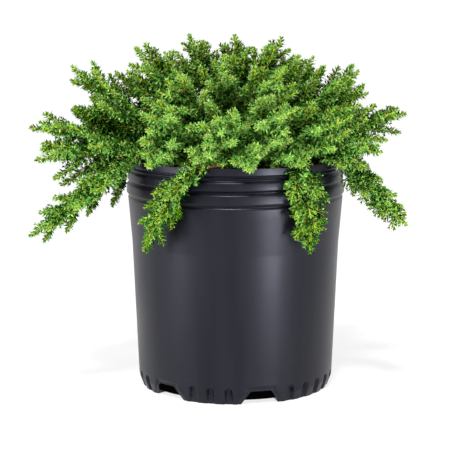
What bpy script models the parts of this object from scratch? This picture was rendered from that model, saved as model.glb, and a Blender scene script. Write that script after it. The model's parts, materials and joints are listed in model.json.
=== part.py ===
"""A low juniper in its round nursery pot, at real size, in metres with +Z up.

The origin is the middle of the pot's flat underside, and the photograph's side faces -Y.
Azimuths are in degrees, 0 towards -Y and growing towards +X.
"""
import math
import random
from collections import namedtuple

import bmesh
import bpy
from mathutils import Matrix, Vector
from mathutils.bvhtree import BVHTree
from mathutils.kdtree import KDTree

MM = 0.001
GAP = 0.3 * MM
# How near points are before they are welded, after a curve or a turned profile and after a union
WELD = 0.01 * MM
UNION_WELD = 0.001 * MM

# Pot
POT_HEIGHT = 228.6 * MM
POT_SEGMENTS = 40
FLOOR = 4.0 * MM
# Radius and height of the outer wall from the rim down, in millimetres
POT_WALL = [
    (104.8, 228.6), (105.2, 221.8), (103.7, 220.4), (105.8, 219.2), (103.8, 216.8), (106.4, 214.8),
    (107.0, 207.8), (104.2, 205.4), (107.4, 203.0), (108.0, 194.6), (105.0, 192.0), (106.5, 189.8),
    (102.7, 145.0), (96.9, 10.0), (93.0, 0.0),
]
# Radius and height of the inner wall from the floor up, in millimetres
POT_INSIDE = [(91.6, 4.0), (94.4, 30.0), (100.6, 145.0), (102.6, 228.6)]
# Radius of the middle of the underside, which no notch reaches
POT_DISC = 80.0
# Drain notches in the bottom edge and the upright flutes between them
FLUTES_IN_SECTOR = (3, 5, 4, 4, 5)
FIRST_NOTCH = 14.9
FLUTE_PITCH = 10.78
FLUTE_MARGIN = 18.75
FLUTE_WIDTH = 9.0 * MM
FLUTE_HEIGHT = 17.0 * MM
FLUTE_DEPTH = 1.6 * MM
FLUTE_ARCH_STEPS = 4
NOTCH_TOP_WIDTH = 21.0 * MM
NOTCH_FOOT_WIDTH = 38.0 * MM
NOTCH_HEIGHT = 13.5 * MM
# Radii that the cutters start from and reach out to, and how far they hang below the base
BASE_RADIUS = 96.6 * MM
NOTCH_INNER = 86.0 * MM
CUTTER_OUTER = 110.0 * MM
CUTTER_BELOW = 1.0 * MM

# Potting mix: radius and height of its upper face from the middle out, in millimetres
MIX_TOP = [(0.0, 206.0), (40.0, 206.0)]
MIX_EDGE = 203.5 * MM

# Trunk
TRUNK_FOOT = 206.0 * MM + GAP
TRUNK_TOP = POT_HEIGHT + 24.0 * MM
TRUNK_SIDES = 12
TRUNK_LEAN = (-2.0 * MM, 1.5 * MM)
# Share of the height, radius and depth of the root flare's lobes, in millimetres
TRUNK_RINGS = [(0.0, 13.0, 2.4), (0.10, 10.6, 1.4), (0.25, 9.2, 0.6), (0.60, 8.0, 0.2), (1.0, 7.0, 0.0)]
TRUNK_LOBES = 4

# Boughs
BOUGH_POINTS = 5
BOUGH_FOOT_RADIUS = 2.1 * MM
BOUGH_TIP_RADIUS = 1.5 * MM
# How far back along a bough its bow starts, as a share of its reach
BOUGH_BOW = 0.45
# Heights above the rim at which limbs leave the trunk, and how far apart round it two may be on
# one collar and on two that are next to each other
COLLARS = (-15.0, -10.2, -5.4, -0.6, 4.2, 9.0, 13.8, 18.6)
COLLAR_ROOM = 30.0
NEXT_COLLAR_ROOM = 14.0
FORK_TIERS = ("crown",)
TRUNK_TIERS = ("crown", "inner")
# A limb is slid in from this far out until the rim of its end face is just clear of the trunk
SEAT_START = 16.0 * MM
SEAT_GAP = 0.35 * MM
SEAT_TRIES = 10
RIM_POINTS = 12

# Foliage. Lengths are in millimetres and angles in degrees. The foot is where a mass meets its
# limb, no further out than a share of the mass's reach. Heights are above the pot's rim.
Tier = namedtuple("Tier", "foot_reach foot_share foot_height bow_out bow_up sides share angle lift "
                          "first last turn roll sprig")
TIERS = {
    "crown": Tier(4.0, 1.0, 24.0, 4.0, 4.0, 3, 0.47, 27.0, 0.05, 0.28, 0.60, 137.5, 40.0, 19.0),
    "inner": Tier(0.0, 1.0, 0.0, 10.0, -2.0, 3, 0.42, 31.0, 0.10, 0.36, 0.68, 137.5, 20.0, 20.0),
    "middle": Tier(60.0, 1.0, 13.0, 12.0, -6.0, 3, 0.50, 32.0, 0.05, 0.20, 0.56, 137.5, 75.0, 20.0),
    "skirt": Tier(84.0, 0.45, 9.0, 4.0, 5.0, 3, 0.50, 32.0, 0.0, 0.14, 0.54, 110.0, 70.0, 21.0),
    "trailer": Tier(106.0, 1.0, 6.0, 4.0, -8.0, 5, 0.31, 41.0, 0.12, 0.12, 0.66, 180.0, 90.0, 29.0),
    "hanger": Tier(107.0, 1.0, 3.5, 8.0, 18.0, 5, 0.36, 44.0, -0.05, 0.12, 0.72, 180.0, 90.0, 29.0),
}
# Azimuth, reach and height of each mass's furthest tip, and how far round its foot is swung
MASSES = {
    "crown": [(-92, 46, 120, 0), (180, 14, 119, 0), (88, 46, 117, 0), (-12, 50, 102, 0)],
    "inner": [(-84, 98, 108, 12), (-88, 118, 84, -16), (82, 77, 99, 8), (130, 94, 92, 0),
              (178, 84, 100, 0), (230, 103, 95, 0), (-42, 96, 80, 0), (30, 86, 88, 0), (78, 122, 86, -12),
              (-38, 132, 50, 0), (-8, 118, 48, 0), (22, 120, 50, 0), (50, 132, 42, 0)],
    "middle": [(-86, 160, 90, 4), (-97, 162, 48, -10), (118, 150, 66, 0), (156, 148, 40, 0),
               (206, 150, 44, 0)],
    "skirt": [(-84, 202, 30, -8), (-74, 200, 2, 3), (-38, 132, 2, -8), (-18, 124, 8, 12), (6, 124, 0, 3),
              (30, 124, 2, -8), (61, 158, 12, -4), (88, 168, 43, 0), (136, 184, 16, 0), (238, 188, 18, 0)],
    "trailer": [(-69, 210, -68, 8), (69, 176, -60, 2), (186, 166, -52, 0)],
    "hanger": [(-42, 126, -80, 25), (34.5, 123, -80, 0)],
}
# Side plumes: how far they stray, how long the first and the last are against their tier's share,
# how strongly their tips turn along the leader, and the fewest steps that are kept of one
LEADER_STEPS = 24
SIDE_STEPS = 12
ROLL_STRAY = 18.0
ANGLE_STRAY = 5.0
LENGTH_STRAY = 0.1
FIRST_SIDE = 1.15
LAST_SIDE = 0.73
FORWARD_TURN = 0.3
LEAST_STEPS = 5
# Cores: the body of needles along a plume, which swells to its widest and tapers to its tip
LEADER_RINGS = 6
SIDE_RINGS = 3
STEM_RADIUS = 1.5 * MM
LEADER_CORE = 9.0 * MM
SIDE_CORE = 7.5 * MM
TIP_RADIUS = 1.0 * MM
CORE_SWELL = 0.25
CORE_TAPER = 0.85
CORE_SHRINK = 0.8
BARE_LEADER = 0.8
# Sprigs: short shoots that stand out of the cores
LEADER_SPRIGS = 4
SIDE_SPRIGS = 2
SPRIG_ANGLE = 46.0
SPRIG_WIDTH = 0.60
SPRIG_ROLL_STRAY = 20.0
SPRIG_ANGLE_STRAY = 6.0
SPRIG_TAPER = 0.60
SPRIG_SHRINKS = (1.0, 0.8, 0.62)
SPRIG_TESTS = (0.35, 0.5, 0.7, 0.9, 1.0)
SPRIG_POINT = 0.1 * MM
LAST_SPRIG = 0.9
BARE_SIDE = 0.15
GOLDEN_TURN = 137.5
TWO_RANKED = 180.0
# Every mass stays this far from its neighbours, the limbs, the pot's rim and the mix
CLEARANCE = 0.5 * MM
RIM_INNER = 102.0 * MM
RIM_OUTER = 108.0 * MM

UP = Vector((0.0, 0.0, 1.0))


def clear_scene():
    for obj in list(bpy.data.objects):
        bpy.data.objects.remove(obj, do_unlink=True)


def new_collection(name):
    collection = bpy.data.collections.new(name)
    bpy.context.scene.collection.children.link(collection)
    return collection


def make_material(name, colour, roughness):
    material = bpy.data.materials.new(name)
    material.use_nodes = True
    shader = material.node_tree.nodes["Principled BSDF"]
    shader.inputs["Base Color"].default_value = (*colour, 1.0)
    shader.inputs["Roughness"].default_value = roughness
    shader.inputs["Metallic"].default_value = 0.0
    return material


def make_object(name, mesh, collection, material=None):
    obj = bpy.data.objects.new(name, mesh)
    collection.objects.link(obj)
    if material:
        mesh.materials.clear()
        mesh.materials.append(material)
    return obj


def object_from_bmesh(name, shape, collection, material=None):
    mesh = bpy.data.meshes.new(name)
    shape.to_mesh(mesh)
    shape.free()
    return make_object(name, mesh, collection, material)


def mark_cutter(obj):
    obj.hide_render = True
    obj.display_type = "WIRE"


def evaluated_mesh(obj, weld):
    bpy.context.view_layer.update()
    mesh = bpy.data.meshes.new_from_object(obj.evaluated_get(bpy.context.evaluated_depsgraph_get()))
    shape = bmesh.new()
    shape.from_mesh(mesh)
    bmesh.ops.remove_doubles(shape, verts=shape.verts, dist=weld)
    bmesh.ops.recalc_face_normals(shape, faces=shape.faces)
    shape.to_mesh(mesh)
    shape.free()
    return mesh


def polar(azimuth, reach, height):
    angle = math.radians(azimuth)
    return Vector((reach * math.sin(angle), -reach * math.cos(angle), height))


def bow(start, middle, end, steps):
    """Points along a quadratic curve."""
    points = []
    for step in range(steps + 1):
        t = step / steps
        points.append(start * (1 - t) ** 2 + middle * 2 * t * (1 - t) + end * t * t)
    return points


def turned(name, profile, collection, material=None):
    """A solid of revolution about Z, from (radius, height) points that run down its outer side."""
    shape = bmesh.new()
    verts = [shape.verts.new((radius, 0.0, height)) for radius, height in profile]
    for first, second in zip(verts, verts[1:]):
        shape.edges.new((first, second))
    obj = object_from_bmesh(name, shape, collection, material)
    screw = obj.modifiers.new("Turn", "SCREW")
    screw.axis = "Z"
    screw.angle = math.tau
    screw.steps = POT_SEGMENTS
    screw.render_steps = POT_SEGMENTS
    screw.use_merge_vertices = True
    screw.merge_threshold = WELD
    screw.use_smooth_shade = False
    return obj


def tube(name, points, radii, collection, material=None, resolution=0):
    """A tapering closed tube through the points, as a welded mesh."""
    curve = bpy.data.curves.new(name, "CURVE")
    curve.dimensions = "3D"
    curve.bevel_depth = MM
    curve.bevel_resolution = resolution
    curve.use_fill_caps = True
    spline = curve.splines.new("POLY")
    spline.points.add(len(points) - 1)
    for target, point, radius in zip(spline.points, points, radii):
        target.co = (*point, 1.0)
        target.radius = radius / MM
    guide = bpy.data.objects.new(name + "_curve", curve)
    collection.objects.link(guide)
    mesh = evaluated_mesh(guide, WELD)
    bpy.data.objects.remove(guide, do_unlink=True)
    return make_object(name, mesh, collection, material)


def prism(name, outline, near, far, azimuth, collection):
    """An outline across the wall, in (sideways, height), carried from one radius to another."""
    shape = bmesh.new()
    face = shape.faces.new([shape.verts.new((across, -near, height)) for across, height in outline])
    grown = bmesh.ops.extrude_face_region(shape, geom=[face])
    moved = [item for item in grown["geom"] if isinstance(item, bmesh.types.BMVert)]
    bmesh.ops.translate(shape, verts=moved, vec=(0.0, near - far, 0.0))
    bmesh.ops.recalc_face_normals(shape, faces=shape.faces)
    shape.transform(Matrix.Rotation(math.radians(azimuth), 4, "Z"))
    obj = object_from_bmesh(name, shape, collection)
    mark_cutter(obj)
    return obj


def inner_radius(height):
    """The pot's inner radius at a height, in metres."""
    for (low_r, low_z), (high_r, high_z) in zip(POT_INSIDE, POT_INSIDE[1:]):
        if height <= high_z * MM:
            share = (height / MM - low_z) / (high_z - low_z)
            return (low_r + share * (high_r - low_r)) * MM
    return POT_INSIDE[-1][0] * MM


def base_azimuths():
    """Azimuths of the notches and of the flutes, worked round from the front."""
    notches = []
    flutes = []
    azimuth = FIRST_NOTCH
    for count in reversed(FLUTES_IN_SECTOR):
        notches.append(azimuth)
        flutes += [azimuth + FLUTE_MARGIN + FLUTE_PITCH * index for index in range(count)]
        azimuth += 2 * FLUTE_MARGIN + FLUTE_PITCH * (count - 1)
    return notches, flutes


def flute_outline():
    half = FLUTE_WIDTH / 2
    spring = FLUTE_HEIGHT - half
    turns = [math.pi * step / FLUTE_ARCH_STEPS for step in range(FLUTE_ARCH_STEPS + 1)]
    arch = [(half * math.cos(turn), spring + half * math.sin(turn)) for turn in turns]
    return [(-half, -CUTTER_BELOW), (half, -CUTTER_BELOW)] + arch


def notch_outline():
    foot = NOTCH_FOOT_WIDTH / 2
    top = NOTCH_TOP_WIDTH / 2
    return [(-foot, -CUTTER_BELOW), (foot, -CUTTER_BELOW), (top, NOTCH_HEIGHT), (-top, NOTCH_HEIGHT)]


def add_boolean(obj, operation, cutters):
    step = obj.modifiers.new(operation.title(), "BOOLEAN")
    step.operation = operation
    step.operand_type = "COLLECTION"
    step.collection = cutters
    step.solver = "EXACT"
    step.use_self = operation == "UNION"


def build_pot(collection, cutters, material):
    base = [(POT_DISC, 0.0), (0.0, 0.0), (0.0, FLOOR / MM)]
    profile = POT_WALL + base + POT_INSIDE + [POT_WALL[0]]
    pot = turned("pot", [(radius * MM, height * MM) for radius, height in profile], collection, material)
    notches, flutes = base_azimuths()
    for index, azimuth in enumerate(notches):
        prism(f"notch_cutter_{index}", notch_outline(), NOTCH_INNER, CUTTER_OUTER, azimuth, cutters)
    for index, azimuth in enumerate(flutes):
        prism(f"flute_cutter_{index}", flute_outline(), BASE_RADIUS - FLUTE_DEPTH, CUTTER_OUTER, azimuth,
              cutters)
    add_boolean(pot, "DIFFERENCE", cutters)


def build_mix(collection, material):
    lowest = FLOOR + GAP
    corners = [height * MM for _, height in reversed(POT_INSIDE) if lowest < height * MM < MIX_EDGE]
    side = [(inner_radius(height) - GAP, height) for height in [MIX_EDGE] + corners + [lowest]]
    top = [(radius * MM, height * MM) for radius, height in MIX_TOP]
    turned("potting_mix", top + side + [(0.0, lowest)], collection, material)


def trunk_centre(share):
    return Vector((TRUNK_LEAN[0] * share, TRUNK_LEAN[1] * share, 0.0))


def trunk_point(share, side):
    """A corner of the trunk's cross-section, from its centre line."""
    for (low, low_r, low_lobe), (high, high_r, high_lobe) in zip(TRUNK_RINGS, TRUNK_RINGS[1:]):
        if share <= high:
            between = (share - low) / (high - low)
            break
    angle = math.tau * side / TRUNK_SIDES
    lobe = low_lobe + (high_lobe - low_lobe) * between
    reach = (low_r + (high_r - low_r) * between + lobe * math.cos(TRUNK_LOBES * angle)) * MM
    return Vector((reach * math.cos(angle), reach * math.sin(angle)))


def trunk_share(height):
    return (height - TRUNK_FOOT) / (TRUNK_TOP - TRUNK_FOOT)


def build_trunk(collection, material):
    """A loft from a lobed foot to a round fork. Returns a tree that measures from its surface."""
    shape = bmesh.new()
    rings = []
    for share, _, _ in TRUNK_RINGS:
        centre = trunk_centre(share) + UP * (TRUNK_FOOT + (TRUNK_TOP - TRUNK_FOOT) * share)
        corners = [trunk_point(share, side) for side in range(TRUNK_SIDES)]
        rings.append([shape.verts.new(centre + corner.to_3d()) for corner in corners])
    for low, high in zip(rings, rings[1:]):
        for side in range(TRUNK_SIDES):
            after = (side + 1) % TRUNK_SIDES
            shape.faces.new((low[side], low[after], high[after], high[side]))
    shape.faces.new(reversed(rings[0]))
    shape.faces.new(rings[-1])
    surface = BVHTree.FromBMesh(shape)
    object_from_bmesh("trunk", shape, collection, material)
    return surface


class Mass:
    """The skeleton of one mass of foliage: its leader and the side plumes on it."""

    def __init__(self, tier_name, index, azimuth, reach, height, swing):
        self.name = f"{tier_name}_{index + 1}"
        self.tier = TIERS[tier_name]
        self.at_fork = tier_name in FORK_TIERS
        self.on_trunk = tier_name in TRUNK_TIERS
        self.tip_azimuth = azimuth
        self.azimuth = azimuth + swing
        self.foot_reach = min(self.tier.foot_reach, self.tier.foot_share * reach) * MM
        self.steepness = height / reach
        self.outer_side = -1 if swing > 0 else 1
        self.rng = random.Random(f"{tier_name} {index}")
        self.tip = polar(azimuth, reach * MM, POT_HEIGHT + height * MM)

    def grow(self, collar, trunk):
        """Works out the leader and side plumes, from the collar where they leave the trunk."""
        tier = self.tier
        if self.at_fork:
            self.leader = self.stem(on_fork(self.azimuth, self.foot_reach, self.tip))
        elif self.on_trunk:
            self.leader = seated(self.azimuth, collar, self.stem, LEADER_RINGS, STEM_RADIUS, trunk)
        else:
            foot_height = POT_HEIGHT + tier.foot_height * MM
            self.leader = self.stem(polar(self.azimuth, self.foot_reach, foot_height))
        self.length = sum((b - a).length for a, b in zip(self.leader, self.leader[1:]))
        self.sides = [self.side_plume(index) for index in range(tier.sides)]

    def stem(self, foot):
        """The leader's bowed line from a foot to its tip."""
        outward = polar((self.azimuth + self.tip_azimuth) / 2, 1.0, 0.0)
        belly = (foot + self.tip) / 2 + outward * self.tier.bow_out * MM + UP * self.tier.bow_up * MM
        return bow(foot, belly, self.tip, LEADER_STEPS)

    def side_plume(self, index):
        tier = self.tier
        along_share = index / (tier.sides - 1)
        step = round((tier.first + (tier.last - tier.first) * along_share) * LEADER_STEPS)
        root = self.leader[step]
        along = (self.leader[step + 1] - self.leader[step - 1]).normalized()
        roll = self.outer_side * (tier.roll + tier.turn * index) + stray(self.rng, ROLL_STRAY)
        leaving = leave(along, roll, tier.angle + stray(self.rng, ANGLE_STRAY))
        length = tier.share * self.length * (1.0 + stray(self.rng, LENGTH_STRAY))
        length *= FIRST_SIDE + (LAST_SIDE - FIRST_SIDE) * along_share
        arriving = (leaving + UP * tier.lift + along * FORWARD_TURN).normalized()
        belly = root + leaving * length / 2
        return bow(root, belly, belly + arriving * length / 2, SIDE_STEPS)

    def heading(self):
        """The direction of the first length of the leader's solid."""
        return (pick(self.leader, LEADER_RINGS)[1] - self.leader[0]).normalized()

    def axes(self):
        return [self.leader] + self.sides


def stray(rng, most):
    return rng.uniform(-most, most)


def leave(along, roll, angle):
    """A direction that leaves an axis at an angle, rolled round it from its upper side."""
    side = along.cross(UP).normalized()
    top = side.cross(along).normalized()
    roll = math.radians(roll)
    angle = math.radians(angle)
    sideways = side * math.sin(roll) + top * math.cos(roll)
    return along * math.cos(angle) + sideways * math.sin(angle)


def on_fork(azimuth, reach, towards):
    """Where a stem that heads for a point starts, just clear of the trunk's flat top."""
    foot = trunk_centre(1.0) + polar(azimuth, reach, TRUNK_TOP)
    steepness = (towards - foot).normalized().z
    return foot + UP * (GAP + STEM_RADIUS * math.sqrt(1 - steepness ** 2))


def seated(azimuth, collar, route, rings, radius, trunk):
    """A limb's route from the foot where the rim of its end face is just clear of the trunk."""
    outward = polar(azimuth, 1.0, 0.0)
    height = POT_HEIGHT + collar * MM
    foot = trunk_centre(trunk_share(height)) + outward * SEAT_START + UP * height
    for _ in range(SEAT_TRIES):
        ahead = pick(route(foot), rings)[1]
        nearest = min(trunk.find_nearest(point)[3] for point in rim(foot, ahead, radius))
        foot = foot - outward * (nearest - SEAT_GAP)
    return route(foot)


def rim(centre, ahead, radius):
    """Points round the end face of a limb that heads for a point."""
    along = (ahead - centre).normalized()
    side = along.orthogonal().normalized() * radius
    around = along.cross(side)
    turns = [math.tau * step / RIM_POINTS for step in range(RIM_POINTS)]
    return [centre + side * math.cos(turn) + around * math.sin(turn) for turn in turns]


def room(collar, azimuth, taken):
    """Whether a limb has room on a collar, beside those there and on the collars next to it."""
    place = COLLARS.index(collar)
    for other, azimuths in taken.items():
        away = abs(COLLARS.index(other) - place)
        needed = {0: COLLAR_ROOM, 1: NEXT_COLLAR_ROOM}.get(away, 0.0)
        for used in azimuths:
            if abs((azimuth - used + 180) % 360 - 180) < needed:
                return False
    return True


def share_collars(masses):
    """From the flattest limb to the steepest, each takes the lowest collar with room."""
    taken = {collar: [] for collar in COLLARS}
    chosen = {}
    for mass in sorted(masses, key=lambda item: item.steepness):
        free = [collar for collar in COLLARS if room(collar, mass.azimuth, taken)]
        chosen[mass.name] = free[0] if free else COLLARS[-1]
        taken[chosen[mass.name]].append(mass.azimuth)
    return chosen


def bough_path(mass, collar, trunk):
    """From the trunk to just short of the mass's foot."""
    heading = mass.heading()
    tip = mass.leader[0] - heading * GAP
    level = Vector((heading.x, heading.y, max(heading.z, 0.0))).normalized()
    belly = tip - level * math.hypot(tip.x, tip.y) * BOUGH_BOW

    def route(foot):
        return bow(foot, belly, tip, BOUGH_POINTS - 1)

    path = seated(mass.azimuth, collar, route, BOUGH_POINTS, BOUGH_FOOT_RADIUS, trunk)
    turn = (path[-1] - path[-2]).angle(heading)
    path[-1] -= heading * BOUGH_TIP_RADIUS * math.sin(turn)
    return path


def taper(count, foot, tip):
    return [foot + (tip - foot) * index / (count - 1) for index in range(count)]


def dense(axis):
    """The axis with three more points in each step."""
    points = [axis[-1]]
    for first, second in zip(axis, axis[1:]):
        points += [first.lerp(second, part / 4) for part in range(4)]
    return points


class Space:
    """What a mass has to stay clear of: the other masses, the limbs, the pot and its mix."""

    def __init__(self, masses, boughs):
        self.own = {}
        self.others = {}
        points = {mass.name: [point for axis in mass.axes() for point in dense(axis)] for mass in masses}
        for mass in masses:
            self.own[mass.name] = self.tree(points[mass.name])
            rest = [point for name, group in points.items() if name != mass.name for point in group]
            self.others[mass.name] = self.tree(rest)
        self.limbs = []
        for path in boughs:
            radii = taper(len(path), BOUGH_FOOT_RADIUS, BOUGH_TIP_RADIUS)
            for (a, ra), (b, rb) in zip(zip(path, radii), zip(path[1:], radii[1:])):
                for part in range(6):
                    self.limbs.append((a.lerp(b, part / 6), ra + (rb - ra) * part / 6))
        self.limb_tree = self.tree([point for point, _ in self.limbs])

    @staticmethod
    def tree(points):
        tree = KDTree(len(points))
        for index, point in enumerate(points):
            tree.insert(point, index)
        tree.balance()
        return tree

    def neighbour(self, mass, point):
        return self.others[mass.name].find(point)[2] - self.own[mass.name].find(point)[2]

    def fits(self, mass, point, radius):
        if self.neighbour(mass, point) < 2 * radius + CLEARANCE:
            return False
        for _, index, distance in self.limb_tree.find_n(point, 4):
            if distance < self.limbs[index][1] + radius + CLEARANCE:
                return False
        return pot_clearance(point) > radius + CLEARANCE


def pot_clearance(point):
    """Distance from the ring of the pot's wall and from the mix inside it."""
    out = math.hypot(point.x, point.y)
    beside = max(RIM_INNER - out, out - RIM_OUTER, 0.0)
    wall = math.hypot(beside, max(point.z - POT_HEIGHT, 0.0))
    mix = math.hypot(max(out - RIM_INNER, 0.0), max(point.z - MIX_TOP[0][1] * MM, 0.0))
    return min(wall, mix)


def core_radii(axis, bare, widest):
    """Radii along a plume: bare stem, then the needles' body, then the tip."""
    radii = []
    last = len(axis) - 1
    for index in range(len(axis)):
        share = index / last
        if share <= bare:
            radii.append(STEM_RADIUS)
        else:
            along = (share - bare) / (1 - bare)
            body = widest * min(1.0, along / CORE_SWELL) * (1.0 - CORE_TAPER * along)
            radii.append(max(body, TIP_RADIUS))
    return radii


def pick(items, steps):
    last = len(items) - 1
    return [items[round(last * step / (steps - 1))] for step in range(steps)]


def add_core(mass, axis, bare, widest, space, bits, name, rings):
    kept_points = []
    kept_radii = []
    for point, radius in zip(pick(axis, rings), pick(core_radii(axis, bare, widest), rings)):
        while radius > TIP_RADIUS and not space.fits(mass, point, radius):
            radius *= CORE_SHRINK
        kept_points.append(point)
        kept_radii.append(max(radius, TIP_RADIUS))
    return tube(name, kept_points, kept_radii, bits)


def add_sprig(root, direction, length, width, bits, name):
    """A three-sided spindle that stands for a short shoot of needles."""
    shape = bmesh.new()
    bmesh.ops.create_uvsphere(shape, u_segments=3, v_segments=2, radius=1.0)
    for vert in shape.verts:
        vert.co = Vector((vert.co.x * width / 2, vert.co.y * width / 2, (vert.co.z + 1) / 2 * length))
    frame = direction.to_track_quat("Z", "Y").to_matrix().to_4x4()
    shape.transform(Matrix.Translation(root) @ frame)
    return object_from_bmesh(name, shape, bits)


def sprig_fits(mass, root, direction, length, width, space):
    for share in SPRIG_TESTS:
        radius = width / 2 * min(1.0, 2 * (1 - share)) + SPRIG_POINT
        if not space.fits(mass, root + direction * length * share, radius):
            return False
    return True


def add_sprigs(mass, axis, bare, count, space, bits, name):
    last = len(axis) - 1
    turn = TWO_RANKED if mass.tier.turn == TWO_RANKED else GOLDEN_TURN
    for index in range(count):
        along_share = (index + 0.5) / count
        share = bare + (1 - bare) * along_share * LAST_SPRIG
        step = min(max(round(share * last), 1), last - 1)
        root = axis[step]
        along = (axis[step + 1] - axis[step - 1]).normalized()
        direction = leave(along, 90 + turn * index + stray(mass.rng, SPRIG_ROLL_STRAY),
                          SPRIG_ANGLE + stray(mass.rng, SPRIG_ANGLE_STRAY))
        full = mass.tier.sprig * MM * (1.0 - SPRIG_TAPER * along_share)
        full *= 1.0 + stray(mass.rng, LENGTH_STRAY)
        for length in (full * shrink for shrink in SPRIG_SHRINKS):
            width = length * SPRIG_WIDTH
            if sprig_fits(mass, root, direction, length, width, space):
                add_sprig(root, direction, length, width, bits, f"{name}_{index}")
                break


def build_foliage(mass, space, collection, material):
    bits = new_collection(mass.name + "_bits")
    bare = mass.tier.first * BARE_LEADER
    leader = add_core(mass, mass.leader, bare, LEADER_CORE, space, collection, "foliage_" + mass.name,
                      LEADER_RINGS)
    leader.data.materials.append(material)
    add_sprigs(mass, mass.leader, bare, LEADER_SPRIGS, space, bits, "sprig")
    for index, side in enumerate(mass.sides):
        reach = clear_reach(mass, side, space)
        if reach < LEAST_STEPS:
            continue
        axis = side[:reach + 1]
        add_core(mass, axis, 0.0, SIDE_CORE, space, bits, f"side_{index}", SIDE_RINGS)
        add_sprigs(mass, axis, BARE_SIDE, SIDE_SPRIGS, space, bits, f"side_{index}_sprig")
    fuse(leader, bits)


def clear_reach(mass, axis, space):
    """How many steps of a side plume stay in the mass's own space."""
    for step in range(3, len(axis)):
        if not space.fits(mass, axis[step], STEM_RADIUS):
            return step - 1
    return len(axis) - 1


def fuse(obj, bits):
    """Joins the bits to the object and removes them."""
    add_boolean(obj, "UNION", bits)
    mesh = evaluated_mesh(obj, UNION_WELD)
    obj.modifiers.clear()
    obj.data = mesh
    for bit in list(bits.objects):
        bpy.data.objects.remove(bit, do_unlink=True)
    bpy.data.collections.remove(bits)


def main():
    clear_scene()
    collection = new_collection("potted_juniper")
    cutters = new_collection("cutters")
    plastic = make_material("black_plastic", (0.030, 0.031, 0.038), 0.45)
    mix = make_material("potting_mix", (0.035, 0.022, 0.014), 0.95)
    bark = make_material("juniper_bark", (0.16, 0.075, 0.035), 0.85)
    needles = make_material("juniper_needles", (0.105, 0.215, 0.030), 0.55)

    build_pot(collection, cutters, plastic)
    build_mix(collection, mix)
    trunk = build_trunk(collection, bark)

    masses = []
    for tier_name, places in MASSES.items():
        for index, (azimuth, reach, height, swing) in enumerate(places):
            masses.append(Mass(tier_name, index, azimuth, reach, height, swing))
    collars = share_collars([mass for mass in masses if not mass.at_fork])
    for mass in masses:
        mass.grow(collars.get(mass.name), trunk)
    carried = [mass for mass in masses if not mass.on_trunk]
    boughs = [bough_path(mass, collars[mass.name], trunk) for mass in carried]
    for mass, path in zip(carried, boughs):
        radii = taper(len(path), BOUGH_FOOT_RADIUS, BOUGH_TIP_RADIUS)
        tube("bough_" + mass.name, path, radii, collection, bark, 1)
    space = Space(masses, boughs)
    for mass in masses:
        build_foliage(mass, space, collection, needles)


main()
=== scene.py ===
"""The looks of a low juniper in its round nursery pot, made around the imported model.

Lengths are in metres with +Z up, and the photographed side faces -Y. Azimuths are in degrees,
0 towards -Y and growing towards +X. The skeleton of the plant follows the same seeded rule as
the solids, and goes on from there to finer plumes, shoots and needles.
"""
import json
import math
import random
from collections import namedtuple

import bmesh
import bpy
import numpy as np
from mathutils import Matrix, Vector, noise
from mathutils.bvhtree import BVHTree
from mathutils.kdtree import KDTree

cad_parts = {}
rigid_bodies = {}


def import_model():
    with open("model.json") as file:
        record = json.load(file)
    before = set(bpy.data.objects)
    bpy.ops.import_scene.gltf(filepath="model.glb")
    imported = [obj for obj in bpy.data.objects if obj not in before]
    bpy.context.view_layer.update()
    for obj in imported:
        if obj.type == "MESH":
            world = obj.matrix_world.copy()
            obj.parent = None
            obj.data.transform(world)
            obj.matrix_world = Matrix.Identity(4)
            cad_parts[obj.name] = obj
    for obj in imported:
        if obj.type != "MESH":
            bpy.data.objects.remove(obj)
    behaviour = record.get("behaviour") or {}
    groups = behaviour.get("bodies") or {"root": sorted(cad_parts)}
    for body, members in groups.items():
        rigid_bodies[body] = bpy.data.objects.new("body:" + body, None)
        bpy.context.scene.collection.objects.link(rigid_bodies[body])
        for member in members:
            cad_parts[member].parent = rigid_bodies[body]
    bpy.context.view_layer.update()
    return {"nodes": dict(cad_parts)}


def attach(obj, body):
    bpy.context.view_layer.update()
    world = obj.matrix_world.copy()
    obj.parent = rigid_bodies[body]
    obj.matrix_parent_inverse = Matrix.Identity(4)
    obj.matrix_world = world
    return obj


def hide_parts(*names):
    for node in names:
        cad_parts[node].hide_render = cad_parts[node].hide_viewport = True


MM = 0.001
GAP = 0.3 * MM
NEAR_UPRIGHT = 0.8
UP = Vector((0.0, 0.0, 1.0))
BODY = "root"

# Camera: fitted to the pot's outline in the photograph
FRAME_WIDTH = 460.0
SENSOR_WIDTH = 36.0
FOCAL_PIXELS = 1573.1
CAMERA_PLACE = (0.0, -1.5505, 0.4062)
CAMERA_PITCH = 0.16113
POT_AXIS_PIXEL = 235.4

# Sockets of a node that maps one range to another, and the range of noise that is mapped
RANGE_SOCKETS = ("From Min", "From Max", "To Min", "To Max")
NOISE_RANGE = (0.3, 0.7)
WHITE = (1.0, 1.0, 1.0, 1.0)
# Sines of the heights that the studio's world fades between, and its light below and above them
HORIZON_BAND = (0.16, 0.32)
WORLD_LIGHT = (1.0, 0.5)
FLOOR_SIZE = 80.0
FLOOR_COLOUR = (130, 130, 130)
FLOOR_GLOW = 0.78
SUN_STRENGTH = 2.9
SUN_WIDTH = 9.0
SUN_TILT = (30.0, -5.0, 0.0)
# Lights at the sides of the camera: place, target, width and height, and watts
Light = namedtuple("Light", "place target size watts")
LIGHTS = {
    "band": Light((0.455, -0.595, 0.10), (0.0, 0.0, 0.10), (0.15, 0.20), 4.4),
    "fill": Light((-1.20, -0.70, 0.38), (-0.05, 0.0, 0.22), (0.22, 0.90), 22.0),
}

# Pot
POT_HEIGHT = 228.6 * MM
POT_SEGMENTS = 640
FLOOR = 4.0 * MM
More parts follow.
